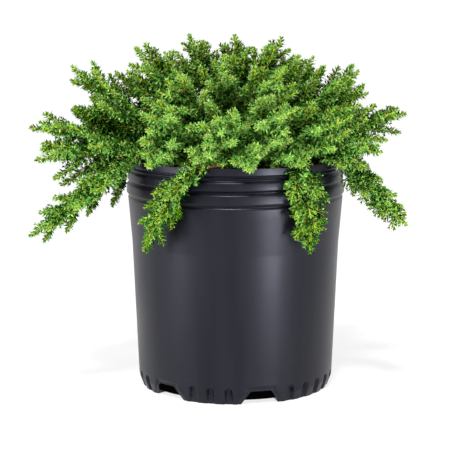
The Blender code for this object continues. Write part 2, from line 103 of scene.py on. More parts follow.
# Radius and height of the outer wall from the rim down, in millimetres
POT_WALL = [
    (104.8, 228.6), (105.2, 221.8), (103.7, 220.4), (105.8, 219.2), (103.8, 216.8), (106.4, 214.8),
    (107.0, 207.8), (104.2, 205.4), (107.4, 203.0), (108.0, 194.6), (105.0, 192.0), (106.5, 189.8),
    (102.7, 145.0), (96.9, 10.0), (93.0, 0.0),
]
# The same of the inner wall from the floor up, the underside and the rim's upper edge
POT_INSIDE = [(91.6, 4.0), (94.4, 30.0), (100.6, 145.0), (102.6, 228.6)]
UNDERSIDE = [(50.0, 0.0), (88.0, 0.0)]
RIM_EDGE = [(104.2, 228.9), (103.0, 228.9)]
# Edges sharper than this many degrees stay sharp
CREASE = 38.0
# Drain notches in the bottom edge and the upright flutes between them
FLUTES_IN_SECTOR = (3, 5, 4, 4, 5)
FIRST_NOTCH = 14.9
FLUTE_PITCH = 10.78
FLUTE_MARGIN = 18.75
FLUTE_WIDTH = 9.0 * MM
FLUTE_HEIGHT = 17.0 * MM
FLUTE_DEPTH = 4.2 * MM
FLUTE_WALL = 2.6 * MM
THINNEST_WALL = 0.4 * MM
NOTCH_TOP_WIDTH = 21.0 * MM
NOTCH_FOOT_WIDTH = 38.0 * MM
NOTCH_HEIGHT = 13.5 * MM
NOTCH_CORNER = 2.5 * MM
NOTCH_INNER = 72.0 * MM
CUTTER_OUTER = 110.0 * MM
CUTTER_BELOW = 1.0 * MM
# The shallow panel that each notch is cut in
PANEL_BORDER = 4.0 * MM
PANEL_DEPTH = 1.1 * MM
PANEL_WALL = 1.6 * MM
# Rounding of the wall's corners, at most over a share of each side, and how far apart the wall's
# rows are above and in the fluted foot
WALL_CORNER = 0.9
CORNER_SHARE = 0.45
CORNER_STEPS = 3
WALL_ROW = 9.0
FOOT_ROW = 0.9
FOOT_ZONE = 20.0
# The rim's lip is a little out of true, by waves round it: their number, size and start
LIP_ZONE = 216.0 * MM
LIP_SWAY = 0.35 * MM
LIP_WAVES = [(3, 0.6, 0.7), (7, 0.4, 2.1), (13, 0.25, 0.0)]
LIP_DIP = 1.2
LIP_SHIFT = 40

# Potting mix
MIX_HEIGHT = 206.0 * MM
MIX_EDGE = 203.5 * MM
MIX_RINGS = 40
MIX_SEGMENTS = 120
MIX_RELIEF = 1.6 * MM
MIX_GRAIN = 110.0
MIX_LEVEL = 0.2
MIX_FRACTAL = (0.9, 2.1, 4)
# The top falls away from this far out, over this width
MIX_FLAT = 40.0 * MM
MIX_SLOPE = 62.0 * MM
# Heights of the rings under the top. Below the second of them the mix is painted nearly black:
# painted shade, for the dark inside of the pot where it shows through the notches.
MIX_SIDES = (190.0 * MM, 145.0 * MM, 30.0 * MM, FLOOR + GAP)
MIX_PAINTED_SHADE = (4, 3, 3)
# Least and greatest length, width and thickness of the chips of bark, in millimetres
CHIP_SIZES = ((3.0, 10.0), (1.6, 4.0), (0.8, 2.0))
CHIP_COUNT = 900
CHIP_ROOM = 6.0 * MM
CHIP_LIFT = 0.6 * MM
CHIP_BEND = 0.35
CHIP_TILTS = (0.35, 0.30)

# Trunk
TRUNK_FOOT = 206.0 * MM + GAP
TRUNK_TOP = POT_HEIGHT + 24.0 * MM
TRUNK_LEAN = (-2.0 * MM, 1.5 * MM)
# Share of the height, radius and depth of the root flare's lobes, in millimetres
TRUNK_RINGS = [(0.0, 13.0, 2.4), (0.10, 10.6, 1.4), (0.25, 9.2, 0.6), (0.60, 8.0, 0.2), (1.0, 7.0, 0.0)]
TRUNK_LOBES = 4
BARK_SIDES = 64
BARK_RINGS = 70
BARK_RELIEF = 0.45 * MM
BARK_FRACTAL = (0.8, 2.0, 3)
TRUNK_GRAIN = 3.2
TRUNK_GRAIN_UPWARD = 95.0
BOUGH_GRAIN = 900.0
BOUGH_GRAIN_STRETCH = 0.22

# Boughs
BOUGH_POINTS = 5
BOUGH_STEPS = 56
BOUGH_SIDES = 12
BOUGH_FOOT_RADIUS = 2.1 * MM
BOUGH_TIP_RADIUS = 1.5 * MM
BOUGH_BOW = 0.45
BOUGH_SINK = 3.0 * MM
COLLARS = (-15.0, -10.2, -5.4, -0.6, 4.2, 9.0, 13.8, 18.6)
COLLAR_ROOM = 30.0
NEXT_COLLAR_ROOM = 14.0
FORK_TIERS = ("crown",)
TRUNK_TIERS = ("crown", "inner")
SEAT_START = 16.0 * MM
SEAT_GAP = 0.35 * MM
SEAT_TRIES = 10
RIM_POINTS = 12

# Skeleton of the foliage. Lengths are in millimetres and angles in degrees. The foot is where a
# mass meets its limb, no further out than a share of the mass's reach. Heights are above the rim.
Tier = namedtuple("Tier", "foot_reach foot_share foot_height bow_out bow_up sides share angle lift "
                          "first last turn roll")
TIERS = {
    "crown": Tier(4.0, 1.0, 24.0, 4.0, 4.0, 3, 0.47, 27.0, 0.05, 0.28, 0.60, 137.5, 40.0),
    "inner": Tier(0.0, 1.0, 0.0, 10.0, -2.0, 3, 0.42, 31.0, 0.10, 0.36, 0.68, 137.5, 20.0),
    "middle": Tier(60.0, 1.0, 13.0, 12.0, -6.0, 3, 0.50, 32.0, 0.05, 0.20, 0.56, 137.5, 75.0),
    "skirt": Tier(84.0, 0.45, 9.0, 4.0, 5.0, 3, 0.50, 32.0, 0.0, 0.14, 0.54, 110.0, 70.0),
    "trailer": Tier(106.0, 1.0, 6.0, 4.0, -8.0, 5, 0.31, 41.0, 0.12, 0.12, 0.66, 180.0, 90.0),
    "hanger": Tier(107.0, 1.0, 3.5, 8.0, 18.0, 5, 0.36, 44.0, -0.05, 0.12, 0.72, 180.0, 90.0),
}
# Azimuth, reach and height of each mass's furthest tip, and how far round its foot is swung
MASSES = {
    "crown": [(-92, 46, 120, 0), (180, 14, 119, 0), (88, 46, 117, 0), (-12, 50, 102, 0)],
    "inner": [(-84, 98, 108, 12), (-88, 118, 84, -16), (82, 77, 99, 8), (130, 94, 92, 0),
              (178, 84, 100, 0), (230, 103, 95, 0), (-42, 96, 80, 0), (30, 86, 88, 0), (78, 122, 86, -12),
              (-38, 132, 50, 0), (-8, 118, 48, 0), (22, 120, 50, 0), (50, 132, 42, 0)],
    "middle": [(-86, 160, 90, 4), (-97, 162, 48, -10), (118, 150, 66, 0), (156, 148, 40, 0),
               (206, 150, 44, 0)],
    "skirt": [(-84, 202, 30, -8), (-74, 200, 2, 3), (-38, 132, 2, -8), (-18, 124, 8, 12), (6, 124, 0, 3),
              (30, 124, 2, -8), (61, 158, 12, -4), (88, 168, 43, 0), (136, 184, 16, 0), (238, 188, 18, 0)],
    "trailer": [(-69, 210, -68, 8), (69, 176, -60, 2), (186, 166, -52, 0)],
    "hanger": [(-42, 126, -80, 25), (34.5, 123, -80, 0)],
}
LEADER_STEPS = 24
SIDE_STEPS = 12
LEADER_RINGS = 6
# How far a side plume's roll, angle and length stray, and how long the first and last ones are
BRANCH_STRAYS = (18.0, 5.0, 0.1)
SIDE_SHARES = (1.15, 0.73)
FORWARD_TURN = 0.3
GOLDEN_TURN = 137.5
TWO_RANKED = 180.0
STEM_RADIUS = 1.5 * MM

# Finer plumes between those that the solids show
FINE_SIDES = 7
FINE_PLACES = (0.14, 0.74)
FINE_SHARE = 0.85
FINE_REMAINDER = 0.8
FINE_ANGLE = 38.0
FINE_TURN = 0.4
# Plumes end this far short of the solids' tips, so that the last needles reach them
TIP_ROOM = 2.0 * MM
SHORTEST_PLUME = 6.0 * MM
# Each kind of plume: the bare share of its foot, its longest shoot, its foot's radius and the woody
# share of its axis. A leader's bare foot is a share of the way to its first side plume.
Plume = namedtuple("Plume", "bare longest radius woody")
LEADER = Plume(0.2, 16.0 * MM, STEM_RADIUS, 0.45)
SIDE = Plume(0.032, 11.5 * MM, 0.95 * MM, 0.25)
FINE = Plume(0.04, 11.5 * MM, 0.76 * MM, 0.2)
RIPENING = 0.2
AXIS_SIDES = 5
AXIS_PIECE = 6.0 * MM
LEAST_BARE = 2.0 * MM
BARE_TIP = 3.5 * MM
# Shoots along every plume: their spacing, how they lengthen away from the plume's tip, and the
# angles they leave at near its foot and tip
SHOOT_PITCH = 2.0 * MM
SHOOT_PITCHES = (0.8, 1.2)
SHOOT_FIRST = 3.6 * MM
SHOOT_GAIN = 0.30
SHOOT_LENGTHS = (0.86, 1.08)
SHORTEST_SHOOT = 3.4 * MM
SHOOT_ANGLES = (52.0, 38.0)
SHOOT_STRAY = 4.0
SHOOT_FORWARD = 0.45
SHOOT_LIFT = 0.12
SHOOT_SHRINKS = (1.0, 0.75, 0.55)
SHOOT_STEPS = 6
# Shoots all round a plume crowd to its sides and are shorter above and below it
RANK_CROWDING = 0.45
RANK_LENGTHS = (0.48, 1.0)
ROUND_STRAY = 12.0
# Plumes that trail have longer shoots in two ranks, and every third one is short and on top
TRAILING_SHOOT = 1.42
RANKS = (90.0, -90.0, 15.0, -90.0, 90.0, -15.0)
RANK_STRAY = 24.0
TOP_RANK = 0.55
# Shoots on the outer part of a bough, which are longer where its mass starts
BARE_BOUGH = 0.3
BOUGH_SHOOT = 14.0 * MM
BOUGH_SHOOT_SHARES = (0.5, 1.0)
BOUGH_SHOOT_LENGTHS = (0.8, 1.1)
BOUGH_SHOOT_PITCH = 1.8 * MM
# Their tint step: lower is darker, partly painted shade
BOUGH_FRESHNESS_AND_LIGHT = 0.4
# Spurs on the longer shoots
SPUR_LEAST = 9.5 * MM
SPUR_FIRST = 0.26
SPUR_ZONE = 0.50
SPUR_COUNT_ZONE = 0.62
SPUR_START = 2.5 * MM
SPUR_LONGEST = 8.0 * MM
SPUR_SHARE = 0.46
SPUR_PITCH = 4.4 * MM
SPUR_ANGLE = 48.0
SPUR_ROLL_STRAY = 35.0
SPUR_LENGTHS = (0.85, 1.15)
LIMB_STRAY = 6.0
# Twig radii
TIP_RADIUS = 0.8 * MM
SHOOT_RADIUS = 0.42 * MM
SPUR_RADIUS = 0.32 * MM
TWIG_TAPER = 0.6
# Needles stand in whorls of three, and get steeper and shorter towards a tip
NEEDLE_LENGTH = 6.6 * MM
NEEDLE_LENGTHS = (0.90, 1.08)
NEEDLE_SHARES = (0.55, 1.0)
NEEDLE_WIDTH = 1.85 * MM
NEEDLE_KEEL = 0.45 * MM
NEEDLE_WIDEST = 0.38
NEEDLE_ANGLES = (30.0, 58.0)
NEEDLE_STRAY = 4.0
TURN_STRAY = 0.14
STEEP_ZONE = 5.0 * MM
WHORL_PITCH = 2.55 * MM
NEEDLE_START = 0.8 * MM
NEEDLE_ROOT = 0.6
# Age and light of the tints (lower is darker: older needles and painted shade) and whorl spacing on the
# lower half of a plume's axis, on the rest of it and at its tip
CORE = (0.0, 0.5)
AXIS = (0.4, 2.0)
YOUNG = (0.9, 0.6)
YOUNG_TIP = 9.0 * MM
CORE_STEM = 0.7
BUD_LENGTH = 2.8 * MM
BUD_WIDTH = 2.0 * MM
BUD_WAIST = 0.35
BUD_SINK = 0.3 * MM
BROWN_BUDS = 0.6
# How far a shoot may pass the middle between two masses, and stays from the pot and its mix
SHARED_SPACE = 7.0 * MM
POT_ROOM = 2.5 * MM
RIM_INNER = 102.0 * MM
# Tints that are dealt out by spray, from the shaded inside to the fresh tips: outer face, inner face. The
# darker tints are partly the older needles' own colour and partly painted shade of the inside.
TINTS = [
    ("deep", (4, 30, 0), (32, 76, 18)),
    ("middle", (27, 88, 2), (88, 152, 54)),
    ("fresh", (64, 134, 4), (120, 176, 80)),
    ("bright", (106, 164, 10), (152, 192, 92)),
]
# How the tints follow a shoot's age and light, in steps of the list above, darker inwards as partly painted
# shade: over how many steps, from where, how much they change along the shoot, and their spread from shoot
# to shoot and by needle
TINT_RANGE = 2.6
TINT_START = 0.25
TINT_CHANGE = 0.5
SHOOT_TINT_STRAY = 0.5
NEEDLE_TINT_STRAY = 0.9
SHOOT_FRESHNESS_AND_LIGHT = (0.25, 0.85)
BUD_COLOURS = [("bud_brown", (150, 92, 66)), ("bud_yellow", (164, 146, 60))]
# From the foot of a plume to its tip
TWIG_COLOURS = [("twig_woody", (98, 58, 38)), ("twig_ripening", (138, 110, 48)),
                ("twig_young", (176, 186, 40))]
YOUNG_TWIG = 2
CHIP_COLOURS = [("chip_dark", (46, 30, 20)), ("chip_red", (94, 54, 34)), ("chip_pale", (126, 100, 74))]


def srgb(colour):
    """A display colour, 0 to 255, as linear values."""
    shares = [value / 255 for value in colour]
    return [share / 12.92 if share <= 0.04045 else ((share + 0.055) / 1.055) ** 2.4 for share in shares]


# Materials

def plain(name, colour, roughness, specular=0.5):
    material = bpy.data.materials.new(name)
    material.use_nodes = True
    adjust(principled(material), {"Base Color": (*srgb(colour), 1.0), "Roughness": roughness,
                                  "Specular IOR Level": specular})
    return material


def principled(material):
    return material.node_tree.nodes["Principled BSDF"]


def add_node(tree, kind, values, **wires):
    """A shader node with values on some of its sockets, and wires to others."""
    node = tree.nodes.new("ShaderNode" + kind)
    adjust(node, values)
    for name, output in wires.items():
        tree.links.new(output, node.inputs[name])
    return node


def adjust(node, values):
    for name, value in values.items():
        node.inputs[name].default_value = value


def noise_node(material, scale, detail, stretch=(1.0, 1.0, 1.0)):
    """Noise in the object's own space, in cycles a metre."""
    tree = material.node_tree
    place = add_node(tree, "TexCoord", {})
    mapping = add_node(tree, "Mapping", {"Scale": stretch}, Vector=place.outputs["Object"])
    values = {"Scale": scale, "Detail": detail}
    return add_node(tree, "TexNoise", values, Vector=mapping.outputs["Vector"]).outputs["Fac"]


def ramp(material, factor, stops):
    """Colours along a factor, from (place, colour) stops."""
    node = add_node(material.node_tree, "ValToRGB", {}, Fac=factor)
    while len(node.color_ramp.elements) < len(stops):
        node.color_ramp.elements.new(0.5)
    for element, (place, colour) in zip(node.color_ramp.elements, stops):
        element.position = place
        element.color = (*srgb(colour), 1.0)
    return node.outputs["Color"]


def spread(material, factor, low, high):
    values = dict(zip(RANGE_SOCKETS, NOISE_RANGE + (low, high)))
    return add_node(material.node_tree, "MapRange", values, Value=factor).outputs["Result"]


def bump(material, height, distance):
    values = {"Strength": 1.0, "Distance": distance}
    return add_node(material.node_tree, "Bump", values, Height=height).outputs["Normal"]


def wire(material, socket, output):
    material.node_tree.links.new(output, principled(material).inputs[socket])


def plastic_material():
    """Black blow-moulded plastic with faint upright streaks and a soft, uneven shine."""
    material = plain("black_plastic", (12, 13, 17), roughness=0.36, specular=0.28)
    adjust(principled(material), {"Specular Tint": (*srgb((230, 232, 254)), 1.0)})
    streaks = noise_node(material, scale=60.0, detail=4.0, stretch=(1.0, 1.0, 0.06))
    wire(material, "Base Color", ramp(material, streaks, [(0.3, (8, 8, 12)), (0.7, (15, 16, 22))]))
    cloud = noise_node(material, scale=22.0, detail=3.0, stretch=(1.0, 1.0, 0.5))
    wire(material, "Roughness", spread(material, cloud, low=0.32, high=0.42))
    grain = noise_node(material, scale=900.0, detail=2.0)
    wire(material, "Normal", bump(material, grain, distance=0.04 * MM))
    return material


def grained(name, colour, roughness, specular, scale, detail, upward, stops, depth):
    """A surface whose colour and relief follow one noise."""
    material = plain(name, colour, roughness, specular)
    grain = noise_node(material, scale, detail, (1.0, 1.0, upward))
    wire(material, "Base Color", ramp(material, grain, stops))
    wire(material, "Normal", bump(material, grain, depth))
    return material


def mix_material():
    colours = [(0.25, (22, 15, 11)), (0.5, (52, 36, 26)), (0.75, (92, 66, 46))]
    return grained("potting_mix", (48, 34, 25), roughness=0.95, specular=0.2, scale=260.0, detail=6.0,
                   upward=1.0, stops=colours, depth=0.8 * MM)


def bark_material():
    """Reddish brown bark that weathers to grey, in upright strips."""
    colours = [(0.25, (52, 28, 18)), (0.5, (112, 66, 40)), (0.78, (158, 118, 86))]
    return grained("juniper_bark", (98, 62, 42), roughness=0.85, specular=0.25, scale=420.0, detail=5.0,
                   upward=0.25, stops=colours, depth=0.25 * MM)


def palette(colours, roughness, specular):
    return [plain(name, colour, roughness, specular) for name, colour in colours]


# Meshes

def make_piece(name, points, faces, materials, kinds=None, smooth=False):
    """One joined mesh from vertex places and triangles or quads."""
    mesh = bpy.data.meshes.new(name)
    points = np.asarray(points, np.float32)
    faces = np.asarray(faces, np.int32)
    corners = faces.shape[1]
    mesh.vertices.add(len(points))
    mesh.vertices.foreach_set("co", points.ravel())
    mesh.loops.add(faces.size)
    mesh.loops.foreach_set("vertex_index", faces.ravel())
    mesh.polygons.add(len(faces))
    mesh.polygons.foreach_set("loop_start", np.arange(0, faces.size, corners, dtype=np.int32))
    for material in materials:
        mesh.materials.append(material)
    if kinds is not None:
        mesh.polygons.foreach_set("material_index", np.asarray(kinds, np.int32))
    mesh.update(calc_edges=True)
    mesh.validate()
    if smooth:
        mesh.shade_smooth()
    else:
        mesh.shade_flat()
    return link(name, mesh)


def link(name, data):
    obj = bpy.data.objects.new(name, data)
    bpy.context.scene.collection.objects.link(obj)
    return obj


class Pile:
    """Vertices and faces that are gathered into one piece."""

    def __init__(self):
        self.points = []
        self.faces = []
        self.kinds = []
        self.count = 0

    def add(self, points, faces, kinds):
        self.points.append(points)
        self.faces.append(faces + self.count)
        self.kinds.append(kinds)
        self.count += len(points)

    def piece(self, name, materials, smooth=False):
        return make_piece(name, np.concatenate(self.points), np.concatenate(self.faces), materials,
                          np.concatenate(self.kinds), smooth)


def dress(obj, slot, *nodes):
    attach(obj, BODY)
    if nodes:
        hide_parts(*nodes)


def grid(rings, sides):
    """Each vertex of the rings under others, and the next one round."""
    turn = np.arange(sides)
    row = np.arange(rings - 1)[:, None] * sides
    return row + turn, row + (turn + 1) % sides


def tube_faces(rings, sides):
    """Triangles of a closed tube, whose two end vertices come after those of its rings."""
    near, far = grid(rings, sides)
    last = (rings - 1) * sides
    ends = np.full((2, sides), rings * sides) + [[0], [1]]
    return np.concatenate([
        np.stack([near, near + sides, far], axis=2).reshape(-1, 3),
        np.stack([far, near + sides, far + sides], axis=2).reshape(-1, 3),
        np.stack([ends[0], near[0], far[0]], axis=1),
        np.stack([ends[1], last + far[0], last + near[0]], axis=1),
    ])


def repeated(pattern, count, corners):
    """Faces of a row of solids that have the same corners and pattern."""
    return (np.arange(count)[:, None, None] * corners + np.array(pattern)).reshape(-1, 3)


def sides_of(along, upright):
    """Two directions square to each one along a line, worked out otherwise where it is upright."""
    side = np.cross(along, np.where(upright, (1.0, 0.0, 0.0), (0.0, 0.0, 1.0)))
    side /= np.linalg.norm(side, axis=1)[:, None]
    return side, np.cross(side, along)


def add_tube(pile, points, radii, sides, kinds, relief=None):
    """A closed tapering tube of triangles through the points, with a cone at its far end."""
    points = np.asarray(points, float)
    radii = np.asarray(radii, float)
    tangents = np.gradient(points, axis=0)
    tangents /= np.linalg.norm(tangents, axis=1)[:, None]
    side, other = sides_of(tangents, abs(tangents[0][2]) >= NEAR_UPRIGHT)
    turns = math.tau * np.arange(sides) / sides
    spokes = side[:, None] * np.cos(turns)[None, :, None] + other[:, None] * np.sin(turns)[None, :, None]
    reach = np.repeat(radii[:, None], sides, axis=1)
    if relief is not None:
        reach = reach + relief(points, spokes, radii)
    rings = points[:, None] + spokes * reach[:, :, None]
    verts = np.concatenate([rings.reshape(-1, 3), points[:1], points[-1:] + tangents[-1:] * radii[-1]])
    wall_kinds = np.repeat(kinds, sides)
    ends = np.repeat([kinds[0], kinds[-1]], sides)
    pile.add(verts, tube_faces(len(points), sides), np.concatenate([wall_kinds, wall_kinds, ends]))


# Skeleton, by the same rule as the solids

def polar(azimuth, reach, height):
    angle = math.radians(azimuth)
    return Vector((reach * math.sin(angle), -reach * math.cos(angle), height))


def turn_between(azimuth, other):
    """How far one azimuth is round from another, from -180 to 180 degrees."""
    return (azimuth - other + 180.0) % 360.0 - 180.0


def between(ends, share):
    """A value that lies a share of the way from one end to the other."""
    return ends[0] + (ends[1] - ends[0]) * share


def bow(start, middle, end, steps):
    """Points along a quadratic curve."""
    shares = [step / steps for step in range(steps + 1)]
    return [start * (1 - t) ** 2 + middle * 2 * t * (1 - t) + end * t * t for t in shares]


def stray(rng, most):
    return rng.uniform(-most, most)


def leave(along, roll, angle):
    """A direction that leaves an axis at an angle, rolled round it from its upper side."""
    side = along.cross(UP).normalized()
    top = side.cross(along).normalized()
    roll = math.radians(roll)
    angle = math.radians(angle)
    sideways = side * math.sin(roll) + top * math.cos(roll)
    return along * math.cos(angle) + sideways * math.sin(angle)


def pick(items, steps):
    last = len(items) - 1
    return [items[round(last * step / (steps - 1))] for step in range(steps)]


def trunk_centre(share):
    return Vector((TRUNK_LEAN[0] * share, TRUNK_LEAN[1] * share, 0.0))


def trunk_share(height):
    return (height - TRUNK_FOOT) / (TRUNK_TOP - TRUNK_FOOT)


class Mass:
    """The skeleton of one mass of foliage: its leader and the side plumes on it."""

    def __init__(self, tier_name, index, azimuth, reach, height, swing):
        self.name = f"{tier_name}_{index + 1}"
        self.tier = TIERS[tier_name]
        self.at_fork = tier_name in FORK_TIERS
        self.on_trunk = tier_name in TRUNK_TIERS
        self.tip_azimuth = azimuth
        self.azimuth = azimuth + swing
        self.foot_reach = min(self.tier.foot_reach, self.tier.foot_share * reach) * MM
        self.steepness = height / reach
        self.outer_side = -1 if swing > 0 else 1
        self.rng = random.Random(f"{tier_name} {index}")
        self.fine_rng = random.Random(f"{tier_name} {index} fine")
        self.tip = polar(azimuth, reach * MM, POT_HEIGHT + height * MM)

    def grow(self, collar, trunk):
        """Works out the leader and side plumes, from the collar where they leave the trunk."""
        tier = self.tier
        if self.at_fork:
            self.leader = self.stem(on_fork(self.azimuth, self.foot_reach, self.tip))
        elif self.on_trunk:
            self.leader = seated(self.azimuth, collar, self.stem, LEADER_RINGS, STEM_RADIUS, trunk)
        else:
            foot_height = POT_HEIGHT + tier.foot_height * MM
            self.leader = self.stem(polar(self.azimuth, self.foot_reach, foot_height))
        self.length = sum((b - a).length for a, b in zip(self.leader, self.leader[1:]))
        self.sides = [self.side_plume(index) for index in range(tier.sides)]
        self.fine_sides = [self.fine_plume(index) for index in range(FINE_SIDES)]

    def stem(self, foot):
        """The leader's bowed line from a foot to its tip."""
        outward = polar((self.azimuth + self.tip_azimuth) / 2, 1.0, 0.0)
        belly = (foot + self.tip) / 2 + outward * self.tier.bow_out * MM + UP * self.tier.bow_up * MM
        return bow(foot, belly, self.tip, LEADER_STEPS)

    def side_plume(self, index):
        tier = self.tier
        order = index / (tier.sides - 1)
        place = between((tier.first, tier.last), order)
        roll = self.outer_side * (tier.roll + tier.turn * index)
        return self.branch(self.rng, order, place, roll, tier.angle, tier.share)

    def fine_plume(self, index):
        """A shorter plume that grows between the side plumes, on the sides that they leave free."""
        tier = self.tier
        order = index / (FINE_SIDES - 1)
        place = between((max(FINE_PLACES[0], tier.first), FINE_PLACES[1]), order)
        roll = -self.outer_side * (tier.roll + tier.turn * (index + FINE_TURN))
        share = FINE_SHARE * tier.share
        return self.branch(self.fine_rng, order, place, roll, FINE_ANGLE, share, FINE_REMAINDER)

    def branch(self, rng, order, place, roll, angle, share, remainder=math.inf):
        """A bowed plume at a place along the leader, no longer than a share of what is left of it."""
        step = round(place * LEADER_STEPS)
        root = self.leader[step]
        along = (self.leader[step + 1] - self.leader[step - 1]).normalized()
        rolled, turned, longer = (stray(rng, most) for most in BRANCH_STRAYS)
        leaving = leave(along, roll + rolled, angle + turned)
        length = share * self.length * (1.0 + longer) * between(SIDE_SHARES, order)
        length = min(length, (1.0 - step / LEADER_STEPS) * self.length * remainder)
        arriving = (leaving + UP * self.tier.lift + along * FORWARD_TURN).normalized()
        belly = root + leaving * length / 2
        return bow(root, belly, belly + arriving * length / 2, SIDE_STEPS)

    def heading(self):
        """The direction of the first length of the leader's solid."""
        return (pick(self.leader, LEADER_RINGS)[1] - self.leader[0]).normalized()


def on_fork(azimuth, reach, towards):
    """Where a stem that heads for a point starts, just clear of the trunk's flat top."""
    foot = trunk_centre(1.0) + polar(azimuth, reach, TRUNK_TOP)
    steepness = (towards - foot).normalized().z
    return foot + UP * (GAP + STEM_RADIUS * math.sqrt(1 - steepness ** 2))


def seated(azimuth, collar, route, rings, radius, trunk):
    """A limb's route from the foot where the rim of its end face is just clear of the trunk."""
    outward = polar(azimuth, 1.0, 0.0)
    height = POT_HEIGHT + collar * MM
    foot = trunk_centre(trunk_share(height)) + outward * SEAT_START + UP * height
    for _ in range(SEAT_TRIES):
        ahead = pick(route(foot), rings)[1]
        nearest = min(trunk.find_nearest(point)[3] for point in rim(foot, ahead, radius))
        foot = foot - outward * (nearest - SEAT_GAP)
    return route(foot)


def rim(centre, ahead, radius):
    """Points round the end face of a limb that heads for a point."""
    along = (ahead - centre).normalized()
    side = along.orthogonal().normalized() * radius
    around = along.cross(side)
    turns = [math.tau * step / RIM_POINTS for step in range(RIM_POINTS)]
    return [centre + side * math.cos(turn) + around * math.sin(turn) for turn in turns]


def room(collar, azimuth, taken):
    """Whether a limb has room on a collar, beside those there and on the collars next to it."""
    for other, azimuths in taken.items():
        away = abs(COLLARS.index(other) - COLLARS.index(collar))
        needed = {0: COLLAR_ROOM, 1: NEXT_COLLAR_ROOM}.get(away, 0.0)
        if any(abs(turn_between(azimuth, used)) < needed for used in azimuths):
            return False
    return True


def share_collars(masses):
    """From the flattest limb to the steepest, each takes the lowest collar with room."""
    taken = {collar: [] for collar in COLLARS}
    chosen = {}
    for mass in sorted(masses, key=lambda item: item.steepness):
        free = [collar for collar in COLLARS if room(collar, mass.azimuth, taken)]
        chosen[mass.name] = free[0] if free else COLLARS[-1]
        taken[chosen[mass.name]].append(mass.azimuth)
    return chosen


def bough_path(mass, collar, trunk):
    """From the trunk to just short of the mass's foot, as a smooth bow."""
    heading = mass.heading()
    tip = mass.leader[0] - heading * GAP
    level = Vector((heading.x, heading.y, max(heading.z, 0.0))).normalized()
    belly = tip - level * math.hypot(tip.x, tip.y) * BOUGH_BOW

    def route(foot):
        return bow(foot, belly, tip, BOUGH_POINTS - 1)

    foot = seated(mass.azimuth, collar, route, BOUGH_POINTS, BOUGH_FOOT_RADIUS, trunk)[0]
    return bow(foot, belly, mass.leader[1], BOUGH_STEPS)


def build_skeleton(trunk):
    masses = []
    for tier_name, places in MASSES.items():
        for index, (azimuth, reach, height, swing) in enumerate(places):
            masses.append(Mass(tier_name, index, azimuth, reach, height, swing))
    collars = share_collars([mass for mass in masses if not mass.at_fork])
    for mass in masses:
        mass.grow(collars.get(mass.name), trunk)
    boughs = {mass.name: bough_path(mass, collars[mass.name], trunk) for mass in masses if not mass.on_trunk}
    return masses, boughs


class Space:
    """Which mass a point belongs to, and what is too near the pot or its mix."""

    def __init__(self, masses):
        groups = {mass.name: sum([mass.leader, *mass.sides], []) for mass in masses}
        self.own = {name: self.tree(points) for name, points in groups.items()}
        self.others = {}
        for mass in masses:
            rest = [points for name, points in groups.items() if name != mass.name]
            self.others[mass.name] = self.tree(sum(rest, []))

    @staticmethod
    def tree(points):
        tree = KDTree(len(points))
        for index, point in enumerate(points):
            tree.insert(point, index)
        tree.balance()
        return tree

    def fits(self, mass, point):
        spare = self.others[mass.name].find(point)[2] - self.own[mass.name].find(point)[2]
        return spare > -2 * SHARED_SPACE and pot_clearance(point) > POT_ROOM


def pot_clearance(point):
    """Distance from the ring of the pot's wall and from the mix inside it."""
    out = math.hypot(point.x, point.y)
    beside = max(RIM_INNER - out, out - radius_at(point.z, POT_WALL[::-1]), 0.0)
    wall = math.hypot(beside, max(point.z - POT_HEIGHT, 0.0))
    mix = math.hypot(max(out - RIM_INNER, 0.0), max(point.z - MIX_HEIGHT, 0.0))
    return min(wall, mix)


def radius_at(height, profile):
    """The radius of a profile at a height, in metres."""
    radii, heights = np.array(profile).T * MM
    return np.interp(height, heights, radii)


def clear_of_pot(points):
    """Which of the points are outside the pot's wall and above its mix."""
    out = np.hypot(points[:, 0], points[:, 1])
    height = points[:, 2]
    beside = (out > radius_at(height, POT_WALL[::-1]) + GAP) | (out < RIM_INNER - GAP)
    above_mix = (out > RIM_INNER) | (height > MIX_HEIGHT + MM)
    return (beside | (height > POT_HEIGHT + GAP)) & above_mix


# Foliage

class Route:
    """A curve that is read by the length along it."""

    def __init__(self, points):
        self.points = np.array([tuple(point) for point in points])
        steps = np.linalg.norm(np.diff(self.points, axis=0), axis=1)
        self.reach = np.concatenate([[0.0], np.cumsum(steps)])
        self.length = self.reach[-1]

    def at(self, places):
        return np.stack([np.interp(places, self.reach, self.points[:, axis]) for axis in range(3)], axis=-1)

    def along(self, places):
        ahead = self.at(np.minimum(places + MM, self.length)) - self.at(np.maximum(places - MM, 0.0))
        return ahead / np.linalg.norm(ahead, axis=-1, keepdims=True)


